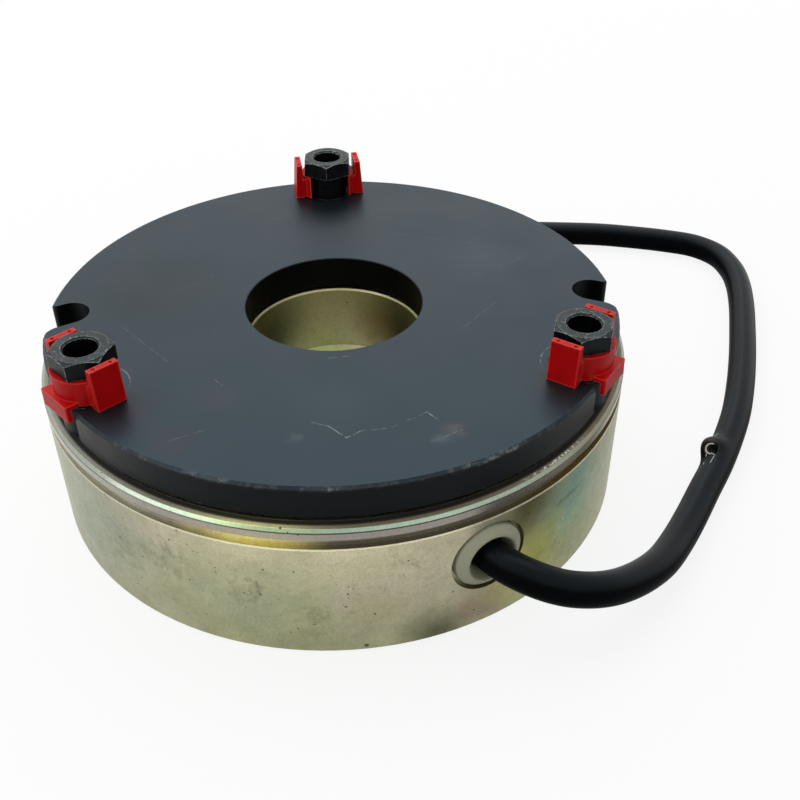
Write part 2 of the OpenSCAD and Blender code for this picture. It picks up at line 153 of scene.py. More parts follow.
def add_node(tree, kind, *values, out=None, stops=(), **named):
    """Adds a node and gives one of its outputs, the first open one unless out says another. Values
    go to its open inputs in order, names with a capital to the inputs of that name, other names
    are settings, and stops fill a ramp."""
    made = tree.nodes.new("ShaderNode" + kind)
    for name, value in named.items():
        if name[0].islower():
            setattr(made, name, value)
    fill(tree, zip([socket for socket in made.inputs if socket.enabled], values))
    fill(tree, [(made.inputs[name], value) for name, value in named.items() if name[0].isupper()])
    if stops:
        ramp = made.color_ramp.elements
        while len(ramp) < len(stops):
            ramp.new(1.0)
        for element, (position, code) in zip(ramp, stops):
            element.position = position
            element.color = linear(code)
    if out is None:
        return next(socket for socket in made.outputs if socket.enabled)
    return made.outputs[out]


def set_shader(material, values):
    """Sets or links inputs of a material's shader, and gives the material."""
    tree = material.node_tree
    inputs = tree.nodes["Principled BSDF"].inputs
    fill(tree, [(inputs[name], value) for name, value in values.items()])
    return material


def start_material(name, uniform=None):
    """A new material whose uniform values are set on the shader's own sockets, the function that
    adds its nodes, and the place of a point."""
    material = bpy.data.materials.new(name)
    material.use_nodes = True
    set_shader(material, uniform or {})
    add = partial(add_node, material.node_tree)
    return material, add, add("TexCoord", out="Object")


def polar(angle, radius, z=0.0):
    """Point in metres at an angle in degrees, a radius and a height in millimetres."""
    a = math.radians(angle)
    return Vector((radius * math.cos(a), radius * math.sin(a), z)) * MM


# Patches of the film on the housing's wall: angle, height and reach in mm, colour, strength
ZINC_FIELDS = [
    (-141, 25, 34, "#9aa18c", 0.85),  # grey green on the left
    (-66, 8, 13, "#947e72", 0.75),    # rosy below the grommet
    (-75, 1, 15, "#55533a", 0.85),    # dark at the foot
    (-54, 16, 25, "#a0a052", 1.0),    # yellow green beside the grommet
    (-42, 11, 18, "#98a278", 0.85),   # pale green
    (-57, 33, 15, "#5e5c30", 0.95),   # dark olive under the groove
    (-44, 28, 20, "#86aa94", 1.0),    # blue green
    (-26, 23, 22, "#a4aa94", 0.8),    # grey on the right
    (15, 22, 34, "#b2ac84", 0.7),     # and four round the back
    (65, 18, 36, "#a2ae94", 0.7),
    (110, 26, 32, "#baae96", 0.7),
    (165, 20, 36, "#a9ac8a", 0.7),
]
# The front of the wall is cream above and olive below: angle and reach in mm, heights in mm
# between which the share grows, colour
ZINC_BANDS = [
    (-98, 62, 20, 34, "#d0c9a8"),
    (-96, 62, 22, 4, "#9ea07c"),
]
# Patches on the bore's wall: dark at both sides, brown on the right and green at the foot
BORE_FIELDS = [
    (142, 30, 20, "#50583e", 0.95),
    (38, 31, 19, "#4a4a36", 0.95),
    (58, 30, 12, "#8c7148", 0.45),
    (100, 22, 12, "#94a058", 0.6),
]
# Bands of the turned crown: height in mm, and which of a state's colours starts or ends there
CROWN_LOW, CROWN_HIGH = 35.0, 41.6
CROWN_BANDS = [
    (35.2, 0), (35.66, 0), (35.78, 1), (37.2, 2), (38.44, 3), (38.56, 4), (40.42, 4), (40.5, 5),
    (40.7, 5), (40.8, 6), (41.36, 6), (41.46, 7),
]
# States of the crown's film, each over the one before: the spots it takes as angle and reach in mm,
# all at one height, and the colours of the edge below the groove, a painted highlight line, the
# groove's foot, middle and top, the land, the edge line, the chamfer and the pole face
CROWN_SPOT_Z = 39
CROWN_STATES = [
    # Mint and lilac, all round
    ([],
     ("#e4debe", "#8a8474", "#8e8a82", "#646260", "#98908a", "#45433c", "#96a996", "#8f866e")),
    # Golden
    ([(-106, 24), (70, 30), (160, 26)],
     ("#f6f2c4", "#e6dc9c", "#fff6bc", "#cfc08c", "#b2a894", "#5c584e", "#a8c094", "#fcf8b4")),
    # Silvery, where the film is thin, with the groove painted lighter against its shade
    ([(-153, 76), (115, 40)],
     ("#c0c0ae", "#d4d2c2", "#e6e4d4", "#c4c2b4", "#acaca0", "#84837a", "#a4a89c", "#b0b0a4")),
    # Bronze grey
    ([(-37, 44), (20, 40)],
     ("#ece4c8", "#8a7c50", "#a49664", "#d0c482", "#978f7b", "#6a6656", "#888470", "#a09882")),
]
# Zones of the housing in metres: the radii or heights between which a share grows or falls
BORE_EDGE = (0.0258, 0.0262)
CROWN_INSIDE = (0.0788, 0.0792)
CROWN_FOOT = (0.0351, 0.03525)
POLE_FACE = (0.04142, 0.04148)
GAP_SHADE_EDGE = (0.0802, 0.0808)
# Strips of the housing in metres: the middle and half the width
CROWN_BRIGHT = (0.03995, 0.00145)
CHIP_STRIP = (0.0811, 0.0004)
# Chipped spot of the pole face: angle, radius and height in mm, and its reach in metres
CHIP_SPOT = (-50, HOUSING_R - 1.6, 41.5)
CHIP_REACH = 0.015
# Soiled spots where specks crowd: angle, height and reach in mm
ZINC_STAINS = [(-107, 21, 12), (-122, 24, 12), (-80, 27, 8), (-96, 12, 9), (-133, 18, 11)]
# Specks: spacing of their cells in metres, widest share of a cell, rarity
ZINC_SPECKS = [(0.0075, 0.045, 0.55), (0.0021, 0.15, 0.5), (0.0013, 0.17, 0.62)]
# Brown pits on the housing's wall: angle, height and radius in mm
ZINC_PITS = [
    (-87.4, 1.9, 0.75), (-90.6, 16.4, 0.4), (-85.8, 13.0, 0.38), (-112.5, 24.5, 0.3),
    (-118, 19, 0.3), (-104, 28.2, 0.35), (-61, 31.5, 0.5), (-99, 8.5, 0.3), (-80, 29.5, 0.3),
    (-72, 15, 0.35), (-128, 20, 0.35),
]
# Drawn stains on the wall: angle and height of both ends, half width in mm
ZINC_STROKES = [
    (-105.3, 25.5, -104.7, 15.5, 0.16), (-108.2, 19.6, -106.9, 18.6, 0.2),
    (-107.2, 24.2, -106.6, 21.8, 0.18), (-121.0, 20.0, -120.4, 17.5, 0.14),
    (-49.2, 22.0, -49.6, 28.0, 0.3), (-49.6, 28.0, -47.2, 27.4, 0.55),
    (-47.2, 27.4, -44.0, 27.2, 0.6), (-44.0, 27.2, -41.4, 28.8, 0.55),
    (-41.4, 28.8, -37.6, 27.8, 0.6), (-57.8, 25.0, -57.2, 23.6, 0.4),
]


def field_share(add, place, centre, reach, strength):
    """Share that falls smoothly from a strength at a centre to nothing at a reach in metres."""
    away = add("VectorMath", place, centre, operation="DISTANCE")
    return add("MapRange", away, 0.0, reach, strength, 0.0, interpolation_type="SMOOTHSTEP")


def stroke_share(add, place, start, end, half, strength):
    """Share of a straight stroke: full within 0.4 of its half width in metres, none beyond 1.6."""
    run = Vector(end) - Vector(start)
    offset = add("VectorMath", place, start, operation="SUBTRACT")
    along = add("VectorMath", offset, run, operation="DOT_PRODUCT")
    share = add("Math", along, run.length_squared, operation="DIVIDE", use_clamp=True)
    foot = add("VectorMath", run, share, operation="SCALE")
    away = add("VectorMath", offset, foot, operation="DISTANCE")
    return add("MapRange", away, 0.4 * half, 1.6 * half, strength, 0.0)


def largest(add, shares):
    """The largest of several shares."""
    top = shares[0]
    for share in shares[1:]:
        top = add("Math", top, share, operation="MAXIMUM")
    return top


def patched(add, place, colour, patches):
    """A colour with soft patches over it: centre in metres, reach in mm, colour, strength."""
    for centre, reach, code, strength in patches:
        share = field_share(add, place, centre, reach * MM, strength)
        colour = add("Mix", share, colour, linear(code), **COLOUR)
    return colour


def strayed(add, place, noise, reach):
    """Place moved both ways along each axis, by up to half a reach, as a noise's colours say."""
    moved = add("VectorMath", noise.node.outputs["Color"], reach, place, operation="MULTIPLY_ADD")
    return add("VectorMath", moved, Vector(reach) / 2, operation="SUBTRACT")


def cylinder_place(add, place):
    """A point's place laid flat, its distance from the brake's axis and its height."""
    flat = add("VectorMath", place, (1, 1, 0), **PRODUCT)
    return flat, add("VectorMath", flat, operation="LENGTH"), add("SeparateXYZ", place, out="Z")


def upward(add):
    """How far a face looks up: the height of its normal."""
    return add("SeparateXYZ", add("NewGeometry", out="Normal"), out="Z")


def edge_share(add, reach, low, high):
    """How near a sharp edge a point is: one minus the cosine between the true normal and the
    normal averaged over reach metres, mapped from low..high to 0..1."""
    soft = add("Bevel", reach, samples=6)
    same = add("VectorMath", soft, add("NewGeometry", out="Normal"), operation="DOT_PRODUCT")
    return add("MapRange", same, 1.0 - low, 1.0 - high)


def zinc_film(add, place, radius, height, zinc):
    """Colour of the chromate film, and the share of the turned crown. The wall and the bore carry
    soft fields of colour, and the crown has bands by height in four states of the film."""
    # The film's thickness wanders, so no field of colour has a ruled border
    wander = add("TexNoise", place, Scale=1 / 0.014, Detail=4.0)
    centred = strayed(add, place, wander, (0.011,) * 3)
    film = add("TexNoise", centred, Scale=1 / 0.05, Detail=2.0, Roughness=0.45)
    colour = add("ValToRGB", film, stops=[
        (0.28, "#9fab96"), (0.42, "#abaa84"), (0.5, "#b1af93"), (0.58, "#baab9a"),
        (0.68, "#a8a874"), (0.8, "#93a288")])
    colour = add("Mix", 0.5, colour, zinc, **COLOUR)
    for angle, reach, low, high, code in ZINC_BANDS:
        near = field_share(add, centred, polar(angle, HOUSING_R, low), reach * MM, 1.0)
        rise = add("MapRange", height, low * MM, high * MM, 0.0, 0.85)
        share = add("Math", near, rise, **PRODUCT)
        colour = add("Mix", share, colour, linear(code), **COLOUR)
    colour = patched(add, centred, colour, [
        (polar(angle, HOUSING_R, z), *rest) for angle, z, *rest in ZINC_FIELDS])
    # Clouds of grime, 4 to 15 mm across
    cloud = add("TexNoise", centred, Scale=1 / 0.011, Detail=5.0, Roughness=0.6)
    shade = add("MapRange", cloud, 0.32, 0.68, 0.87, 1.09)
    colour = add("Mix", 1.0, colour, shade, blend_type="MULTIPLY", **COLOUR)
    in_bore = add("MapRange", radius, *BORE_EDGE, 1.0, 0.0)
    bore = patched(add, place, linear("#aaa67e"), [
        (polar(angle, BORE_R, z), *rest) for angle, z, *rest in BORE_FIELDS])
    colour = add("Mix", in_bore, colour, bore, **COLOUR)
    level = add("MapRange", height, CROWN_LOW * MM, CROWN_HIGH * MM)
    for spots, codes in CROWN_STATES:
        state = add("ValToRGB", level, stops=[
            ((z - CROWN_LOW) / (CROWN_HIGH - CROWN_LOW), codes[k]) for z, k in CROWN_BANDS])
        if spots:
            share = largest(add, [
                field_share(add, centred, polar(angle, HOUSING_R, CROWN_SPOT_Z), reach * MM, 1.0)
                for angle, reach in spots])
            state = add("Mix", share, banded, state, **COLOUR)
        banded = state
    outer = add("MapRange", radius, *CROWN_INSIDE)
    crown = add("Math", outer, add("MapRange", height, *CROWN_FOOT), **PRODUCT)
    return add("Mix", crown, colour, banded, **COLOUR), crown


def zinc_chromate_steel(colours):
    """Turned steel with yellow passivated zinc: a pale olive satin metal with soft iridescent
    fields, banded edges with a painted highlight line, and fine dark specks in clusters."""
    material, add, place = start_material("zinc_chromate_steel")
    _, radius, height = cylinder_place(add, place)
    colour, crown = zinc_film(add, place, radius, height, tuple(colours.zinc))
    # Turning marks: rings under a millimetre apart, coarser than the real ones so that they show
    turned = add("CombineXYZ", radius, height)
    rings = add("TexNoise", turned, Scale=1 / 0.0008, Detail=3.0, noise_dimensions="2D")
    # A faint grey bloom, 1 to 3 mm across, and grain of half a millimetre
    soil = add("TexNoise", place, Scale=1 / 0.0026, Detail=6.0, Roughness=0.65)
    bloom = add("MapRange", soil, 0.52, 0.78, 0.0, 0.2)
    colour = add("Mix", bloom, colour, linear("#77745c"), blend_type="MULTIPLY", **COLOUR)
    grain = add("TexNoise", place, Scale=1 / 0.0006, Detail=2.0)
    grain = add("MapRange", grain, 0.3, 0.7, 0.9, 1.08)
    colour = add("Mix", 1.0, colour, grain, blend_type="MULTIPLY", **COLOUR)
    # Specks crowd in flocks and on the stains, which are grimy
    flock = add("TexNoise", place, Scale=1 / 0.013, Detail=3.0)
    stained = largest(add, [
        field_share(add, place, polar(angle, HOUSING_R, z), reach * MM, 1.25)
        for angle, z, reach in ZINC_STAINS])
    dense = largest(add, [add("MapRange", flock, 0.44, 0.66, 0.68, 1.15), stained])
    broken = add("MapRange", soil, 0.42, 0.62)
    grime = add("Math", add("Math", stained, broken, **PRODUCT), 0.3, **PRODUCT)
    colour = add("Mix", grime, colour, linear("#6c6a54"), **COLOUR)
    marks = []
    for spacing, widest, rare in ZINC_SPECKS:
        cells = add("TexVoronoi", place, Scale=1 / spacing)
        chance = add("SeparateColor", cells.node.outputs["Color"], out=0)
        reach = add("MapRange", add("Math", chance, dense, **PRODUCT), rare, 1.0, 0.0, widest)
        marks.append(add("Math", cells, reach, operation="LESS_THAN"))
    for angle, z, pit_r in ZINC_PITS:
        away = add("VectorMath", place, polar(angle, HOUSING_R, z), operation="DISTANCE")
        marks.append(add("MapRange", away, 0.6 * pit_r * MM, pit_r * MM, 1.0, 0.0))
    pits = largest(add, marks)
    ragged = strayed(add, place, soil, (0.0016,) * 3)
    strokes = largest(add, [
        stroke_share(add, ragged, polar(a0, HOUSING_R, z0), polar(a1, HOUSING_R, z1), half * MM,
                     0.5)
        for a0, z0, a1, z1, half in ZINC_STROKES])
    dirt = largest(add, [add("Math", pits, 0.85, **PRODUCT),
                         add("Math", strokes, broken, **PRODUCT)])
    colour = add("Mix", dirt, colour, linear("#4a4430"), **COLOUR)
    # The wall is satin, the chamfer and the land are bright, and the pole face is dull
    satin = add("MapRange", soil, 0.3, 0.75, 0.33, 0.46)
    bright = add("Math", height, *CROWN_BRIGHT, operation="COMPARE")
    rough = add("Mix", add("Math", crown, bright, **PRODUCT), satin, 0.24)
    dull = add("Math", add("MapRange", height, *POLE_FACE), crown, **PRODUCT)
    rough = add("Mix", dull, rough, 0.8)
    # Painted shade: the pole face under the plate's rim is painted near black for the air gap's
    # shadow
    gap_shade = add("MapRange", radius, *GAP_SHADE_EDGE, 0.95, 0.0)
    colour = add("Mix", add("Math", gap_shade, dull, **PRODUCT), colour, linear("#0e0d0a"), **COLOUR)
    # Bare bright chips on the front right of the pole face
    zone = field_share(add, place, polar(*CHIP_SPOT), CHIP_REACH, 1.8)
    spot = add("MapRange", add("TexNoise", place, Scale=1 / 0.0007, Detail=3.0), 0.48, 0.53)
    strip = add("Math", radius, *CHIP_STRIP, operation="COMPARE")
    chips = add("Math", add("Math", zone, spot, **PRODUCT), add("Math", strip, dull, **PRODUCT),
                **PRODUCT)
    colour = add("Mix", chips, colour, linear("#f4f4ee"), **COLOUR)
    bump = add("Bump", Strength=0.1, Distance=0.00005, Height=rings)
    pitted = add("Bump", Strength=0.5, Distance=0.00015, Height=pits, Normal=bump, invert=True)
    return set_shader(material, {
        "Base Color": colour, "Metallic": add("MapRange", dull, 0.0, 1.0, 1.0, 0.3),
        "Roughness": rough, "Normal": pitted})


# Scratches on the plate's top: start and end in mm, half width in mm, strength
PLATE_SCRATCHES = [
    (-6.5, -55.4, -2.5, -57.1, 0.1, 0.25), (-2.5, -57.1, 1.6, -62.0, 0.1, 0.4),
    (1.6, -62.0, 5.1, -59.7, 0.1, 0.45), (5.1, -59.7, 12.3, -59.1, 0.08, 0.28),
    (12.3, -59.1, 21.5, -53.6, 0.08, 0.28), (21.5, -53.6, 23.6, -56.4, 0.11, 0.5),
    (-31.3, -35.1, -28.9, -38.4, 0.08, 0.22), (-40.2, -59.6, -31.5, -56.0, 0.08, 0.18),
    (-1.8, -28.4, 4.5, -27.6, 0.08, 0.3), (24.0, -64.0, 29.5, -61.0, 0.1, 0.25),
    (-48.0, 8.0, -30.0, 21.0, 0.08, 0.15), (20.0, 40.0, 44.0, 31.0, 0.08, 0.15),
    (34.0, -18.0, 46.0, -4.0, 0.08, 0.15), (-20.0, 52.0, -6.0, 60.0, 0.08, 0.15),
    (-58.0, -8.0, -44.0, -26.0, 0.08, 0.15), (38.0, 8.0, 60.0, 22.0, 0.08, 0.14),
]
# Smudges and painted reflections on the plate's top: place, reach in mm, colour, strength. The dark
# purple patches by the left bolt and the brown one by the right bolt are painted reflections of the
# clips
PLATE_SMUDGES_AND_REFLECTIONS = [
    (27.0, -61.0, 4.5, "#4a4640", 0.5), (23.5, -65.0, 3.5, "#4a5258", 0.4),
    (-10.8, -62.0, 3.0, "#444c52", 0.35), (-40.0, -60.0, 9.0, "#322d33", 0.4),
    (-52.0, -46.0, 12.0, "#2a252c", 0.5), (54.0, -44.0, 9.0, "#332f2d", 0.5),
    (-30.0, -44.0, 9.0, "#343436", 0.35), (5.0, 45.0, 22.0, "#333639", 0.3),
    (-52.0, 8.0, 34.0, "#1f272b", 0.6), (45.0, 20.0, 18.0, "#343c43", 0.4),
    (0.0, -48.0, 16.0, "#2e363d", 0.35),
]
# Rub of a socket wrench round each bolt: its radius, half width, and reach from its inmost point
WRENCH_RING_R = 10.2
WRENCH_HALF = 0.2
WRENCH_REACH = 9.0
# Zones of the plate in metres: the radii or heights between which a share grows or falls
PLATE_BORE = (0.027, 0.03)
RIM_FACE = (0.0791, 0.0795)
RIM_TOP = (0.0509, 0.0517)
RIM_FOOT = (0.0431, 0.0438)
# Most worn places of the rim's upper edge: its radius and height in mm, angles and reaches in mm
RIM_R, RIM_Z = 80, 52
RIM_WEAR = [(-64, 18), (-92, 12), (-112, 9)]


def phosphated_plate_steel(colours):
    """Ground steel with a dark phosphate film: satin blue grey, black in the bore, with thin
    scratches and a faintly rubbed rim."""
    material, add, place = start_material("phosphated_plate_steel", {"Metallic": 0.85})
    flat, radius, height = cylinder_place(add, place)
    # The film is mottled in clouds of 6 to 20 mm
    cloud = add("TexNoise", place, Scale=1 / 0.016, Detail=5.0, Roughness=0.6)
    cloudy = add("MapRange", cloud, 0.3, 0.7)
    colour = add("Mix", cloudy, linear("#1f2a31"), linear("#263239"), **COLOUR)
    colour = add("Mix", 0.5, colour, tuple(colours.plate), **COLOUR)
    stir = add("TexNoise", place, Scale=1 / 0.004, Detail=4.0)
    # Smudges, and painted reflections of the clips by the side bolts
    colour = patched(add, strayed(add, flat, stir, (0.006, 0.006, 0)), colour, [
        ((x * MM, y * MM, 0), *rest) for x, y, *rest in PLATE_SMUDGES_AND_REFLECTIONS])
    # The turned rim and the slot walls are darker than the ground face, and the bore is painted
    # near black, painted shade for the inside of the bore
    upright = add("MapRange", upward(add), 0.3, 0.9, 1.0, 0.0)
    inside = add("MapRange", radius, *PLATE_BORE, 1.0, 0.0)
    wall = add("Mix", inside, tuple(colours.plate_rim), linear("#050606"), **COLOUR)
    colour = add("Mix", upright, colour, wall, **COLOUR)
    # Scratches and wrench rubs, broken up by noise 1.5 mm long
    gaps = add("TexNoise", place, Scale=1 / 0.0015, Detail=3.0)
    broken = add("MapRange", gaps, 0.38, 0.58)
    bent = add("VectorMath", gaps.node.outputs["Color"], (0.0006, 0.0006, 0), flat,
               operation="MULTIPLY_ADD")
    strokes = [
        stroke_share(add, bent, (x0 * MM, y0 * MM, 0), (x1 * MM, y1 * MM, 0), half * MM, strength)
        for x0, y0, x1, y1, half, strength in PLATE_SCRATCHES]
    for angle in BOLT_ANGLES.values():
        away = add("VectorMath", flat, polar(angle, BOLT_CIRCLE_R), operation="DISTANCE")
        ring = add("Math", away, WRENCH_RING_R * MM, WRENCH_HALF * MM, operation="COMPARE")
        inmost = polar(angle, BOLT_CIRCLE_R - WRENCH_RING_R)
        near = field_share(add, flat, inmost, WRENCH_REACH * MM, 0.24)
        strokes.append(add("Math", ring, near, **PRODUCT))
    scratched = add("Math", largest(add, strokes), broken, **PRODUCT)
    # Pale dust specks under half a millimetre
    cells = add("TexVoronoi", place, Scale=1 / 0.006)
    chance = add("SeparateColor", cells.node.outputs["Color"], out=1)
    reach = add("MapRange", chance, 0.6, 1.0, 0.0, 0.026)
    dust = add("Math", add("Math", cells, reach, operation="LESS_THAN"), 0.3, **PRODUCT)
    # The film is rubbed thin along the upper edge of the rim, most at the front right
    rim = add("MapRange", radius, *RIM_FACE)
    patch = add("TexNoise", place, Scale=1 / 0.0022, Detail=6.0, Roughness=0.75)
    bare = add("MapRange", patch, 0.5, 0.72, 0.05, 0.55)
    most = largest(add, [0.3] + [
        field_share(add, place, polar(angle, RIM_R, RIM_Z), reach * MM, 1.3)
        for angle, reach in RIM_WEAR])
    edge = add("Math", rim, add("MapRange", height, *RIM_TOP), **PRODUCT)
    worn = add("Math", add("Math", edge, bare, **PRODUCT), most, **PRODUCT)
    # Pale grit clings to the lower edge of the rim
    foot = add("Math", rim, add("MapRange", height, *RIM_FOOT, 0.55, 0.0), **PRODUCT)
    clinging = add("Math", foot, add("MapRange", gaps, 0.6, 0.66), **PRODUCT)
    marks = largest(add, [scratched, dust, worn, clinging])
    colour = add("Mix", marks, colour, linear("#9aa0a0"), **COLOUR)
    grit = add("TexNoise", place, Scale=1 / 0.0007, Detail=3.0)
    return set_shader(material, {
        "Base Color": colour, "Roughness": add("MapRange", cloud, 0.3, 0.7, 0.36, 0.46),
        "Normal": add("Bump", Strength=0.1, Distance=0.00006, Height=grit)})


def black_oxide_steel(colours):
    """Turned and blackened bolt steel: near black flats, an end face painted greyer as painted
    light from above, bright worn edges.
    """
    material, add, place = start_material("black_oxide_steel", {"Metallic": 0.9})
    cloud = add("TexNoise", place, Scale=1 / 0.003, Detail=5.0, Roughness=0.6)
    cloudy = add("MapRange", cloud, 0.35, 0.7)
    colour = add("Mix", cloudy, tuple(colours.bolt), linear("#1a1e1f"), **COLOUR)
    # Painted light: faces that look up are painted greyer, as if lit from above; worn flecks lie on
    # them too
    lit_end_face = add("MapRange", upward(add), 0.5, 0.95)
    colour = add("Mix", lit_end_face, colour, linear("#2a3031"), **COLOUR)
    patch = add("TexNoise", place, Scale=1 / 0.0006, Detail=5.0)
    bare = add("MapRange", patch, 0.36, 0.6, 0.0, 0.85)
    worn = add("Math", edge_share(add, 0.00034, 0.004, 0.04), bare, **PRODUCT)
    fleck = add("Math", add("MapRange", patch, 0.6, 0.74, 0.0, 0.42), lit_end_face, **PRODUCT)
    colour = add("Mix", largest(add, [worn, fleck]), colour, linear("#a6aaa8"), **COLOUR)
    return set_shader(material, {
        "Base Color": colour, "Roughness": add("MapRange", cloud, 0.3, 0.7, 0.36, 0.52),
        "Normal": add("Bump", Strength=0.15, Distance=0.0001, Height=patch)})


def moulded_red_plastic(colours):
    """Injection moulded red polypropylene: even deep red with a painted highlight on its rounded
    edges, faintly dusty.
    """
    material, add, place = start_material("moulded_red_plastic", {
        "IOR": 1.49, "Specular IOR Level": 0.16, "Subsurface Weight": 0.35,
        "Subsurface Radius": (1.0, 0.12, 0.08), "Subsurface Scale": 0.0012})
    flow = add("MapRange", add("TexNoise", place, Scale=1 / 0.006, Detail=3.0), 0.35, 0.65)
    colour = add("Mix", flow, tuple(colours.clip), linear("#b00205"), **COLOUR)
    # Painted highlight: the rounded edges are painted pale red
    edge_highlight = add("Math", edge_share(add, 0.0008, 0.015, 0.16), 0.8, **PRODUCT)
    colour = add("Mix", edge_highlight, colour, linear("#e4483f"), **COLOUR)
    dust = add("TexNoise", place, Scale=1 / 0.0011, Detail=5.0, Roughness=0.7)
    dusty = add("MapRange", dust, 0.6, 0.8, 0.0, 0.3)
    colour = add("Mix", dusty, colour, linear("#a83a34"), **COLOUR)
    return set_shader(material, {
        "Base Color": colour, "Roughness": add("MapRange", dust, 0.3, 0.7, 0.36, 0.5),
        "Normal": add("Bump", Strength=0.1, Distance=0.00006, Height=dust)})


# Finishes of two close tones: pale and dark tone, grain in metres, lowest and highest roughness,
# depth of the bump in metres, and values that are the same all over
MOTTLED = {
    # Chalky torn plastic
    "frayed_insulation": ("#d9d4ca", "#9a9084", 0.0006, 0.4, 0.6, 0.00005, {}),
    # Plain satin insulation
    "brown_core_pvc": ("#74502f", "#5c3f26", 0.004, 0.4, 0.55, 0.00004, {}),
    "blue_core_pvc": ("#35589a", "#2a477c", 0.004, 0.4, 0.55, 0.00004, {}),
    # Soft silvery metal
    "tinned_copper": ("#c9cccd", "#9fa3a4", 0.0015, 0.25, 0.42, 0.00004, {"Metallic": 1.0}),
    # Waxy cream that lets some light in, with a pale tone that the user may change
    "natural_nylon": (None, "#a8ab8e", 0.004, 0.35, 0.5, 0.00005, {
        "IOR": 1.53, "Subsurface Weight": 0.15, "Subsurface Scale": 0.002}),
    # Dull ivory
    "glass_filled_nylon": ("#dbd5c0", "#c4bda4", 0.003, 0.45, 0.6, 0.00008, {}),
    # Glossy dark grey with slow waves
    "cast_epoxy_resin": ("#3d4042", "#2c2f30", 0.009, 0.22, 0.4, 0.0003, {}),
    # Grey drawn metal
    "oil_tempered_spring_wire": ("#a4a8aa", "#7d8285", 0.002, 0.28, 0.42, 0.00004, {
        "Metallic": 1.0}),
}


def mottled(name, pale=None):
    """A finish of the table, its two tones in noise with matching bump. A linear pale tone may be
    given in place of the table's."""
    own_pale, dark, grain, rough_low, rough_high, depth, uniform = MOTTLED[name]
    material, add, place = start_material(name, uniform)
    noise = add("TexNoise", place, Scale=1 / grain, Detail=5.0, Roughness=0.6)
    share = add("MapRange", noise, 0.32, 0.68)
    return set_shader(material, {
        "Base Color": add("Mix", share, linear(dark), pale or linear(own_pale), **COLOUR),
        "Roughness": add("MapRange", noise, 0.3, 0.7, rough_low, rough_high),
        "Normal": add("Bump", Strength=0.3, Distance=depth, Height=noise)})


def soft_pvc_sheath(colours):
    """Extruded soft PVC: blue black with a low sheen, painted lighter and glossier on its upper
    side as painted light, drawn lines along it, dust and a torn spot."""
    material, add, place = start_material("soft_pvc_sheath", {
        "IOR": 1.53, "Specular Tint": linear("#c0d2e0")})
    # Extrusion lines 0.5 mm apart round the sheath and 20 mm long
    drawn = add("Mapping", add("UVMap", uv_map="run"), Scale=(1 / 0.02, 1 / 0.0005, 1))
    lines = add("TexNoise", drawn, Scale=1.0, Detail=3.0)
    # Painted highlight: the upper side is painted lighter and given more specular, as if lit from
    # above, and the underside stays black
    lit_upper_side = add("MapRange", upward(add), 0.48, 0.88, interpolation_type="SMOOTHSTEP")
    cloud = add("TexNoise", place, Scale=1 / 0.009, Detail=4.0)
    bloom = add("Math", lit_upper_side, cloud, **PRODUCT)
    colour = add("Mix", bloom, tuple(colours.sheath), linear("#12171b"), **COLOUR)
    dust = add("TexNoise", place, Scale=1 / 0.0009, Detail=3.0, Roughness=0.7)
    dusty = add("MapRange", dust, 0.66, 0.78, 0.0, 0.35)
    colour = add("Mix", dusty, colour, linear("#24282a"), **COLOUR)
    # Painted shade: the hole and the slit are painted near black for their depth; the torn crest is
    # brown
    for name, code in (("torn", "#3a3029"), ("hole", "#040303")):
        share = add("Attribute", attribute_name=name, out="Fac")
        colour = add("Mix", share, colour, linear(code), **COLOUR)
    return set_shader(material, {
        "Base Color": colour, "Specular IOR Level": add("MapRange", lit_upper_side, 0.0, 1.0, 0.01, 0.115),
        "Roughness": add("MapRange", lines, 0.3, 0.7, 0.27, 0.38),
        "Normal": add("Bump", Strength=0.15, Distance=0.00005, Height=lines)})


def enamelled_copper_winding():
    """Close wound enamelled wire: red brown glossy rows 0.8 mm apart."""
    material, add, place = start_material("enamelled_copper_winding", {"Metallic": 1.0})
    phase = add("Math", add("SeparateXYZ", place, out="Z"), FULL_TURN / 0.0008, **PRODUCT)
    rows = add("Math", phase, operation="SINE")
    # Painted shade: the colour is darker in the valleys between the rows and lighter on their
    # crests, following the bump
    share = add("MapRange", rows, -1.0, 1.0)
    gloss = add("TexNoise", place, Scale=1 / 0.004, Detail=3.0)
    return set_shader(material, {
        "Base Color": add("Mix", share, linear("#6d3a20"), linear("#b5683a"), **COLOUR),
        "Roughness": add("MapRange", gloss, 0.3, 0.7, 0.22, 0.36),
        "Normal": add("Bump", Strength=0.8, Distance=0.0003, Height=rows)})


def ring_quads(rows, columns, closed):
    """Quads between neighbouring rows of a grid whose columns close into a ring, and its rows too
    where closed."""
    row = np.arange(rows if closed else rows - 1)[:, None]
    after = (row + 1) % rows * columns
    row = row * columns
    here = np.arange(columns)[None, :]
    ahead = (here + 1) % columns
    return np.stack([row + here, row + ahead, after + ahead, after + here], axis=-1).reshape(-1, 4)


def ring_mesh(name, stacks, closed=False, sharp=35):
    """Mesh from stacks of rings (rows, columns, xyz): quads between the rings, and a flat cap at
    each end or, where closed, quads back to the first ring. Smooth but for edges over a sharp
    angle in degrees."""
    faces = []
    start = 0
    for rings in stacks:
        rows, columns = rings.shape[:2]
        faces += (ring_quads(rows, columns, closed) + start).tolist()
        first = np.arange(columns) + start
        if not closed:
            faces += [first[::-1].tolist(), (first + (rows - 1) * columns).tolist()]
        start += rows * columns
    mesh = bpy.data.meshes.new(name)
    mesh.from_pydata(np.concatenate(stacks).reshape(-1, 3).tolist(), [], faces)
    mesh.shade_smooth()
    mesh.set_sharp_from_angle(angle=math.radians(sharp))
    return mesh


def add_object(name, data):
    """Puts an object with its data into the scene."""
    made = bpy.data.objects.new(name, data)
    bpy.context.scene.collection.objects.link(made)
    return made


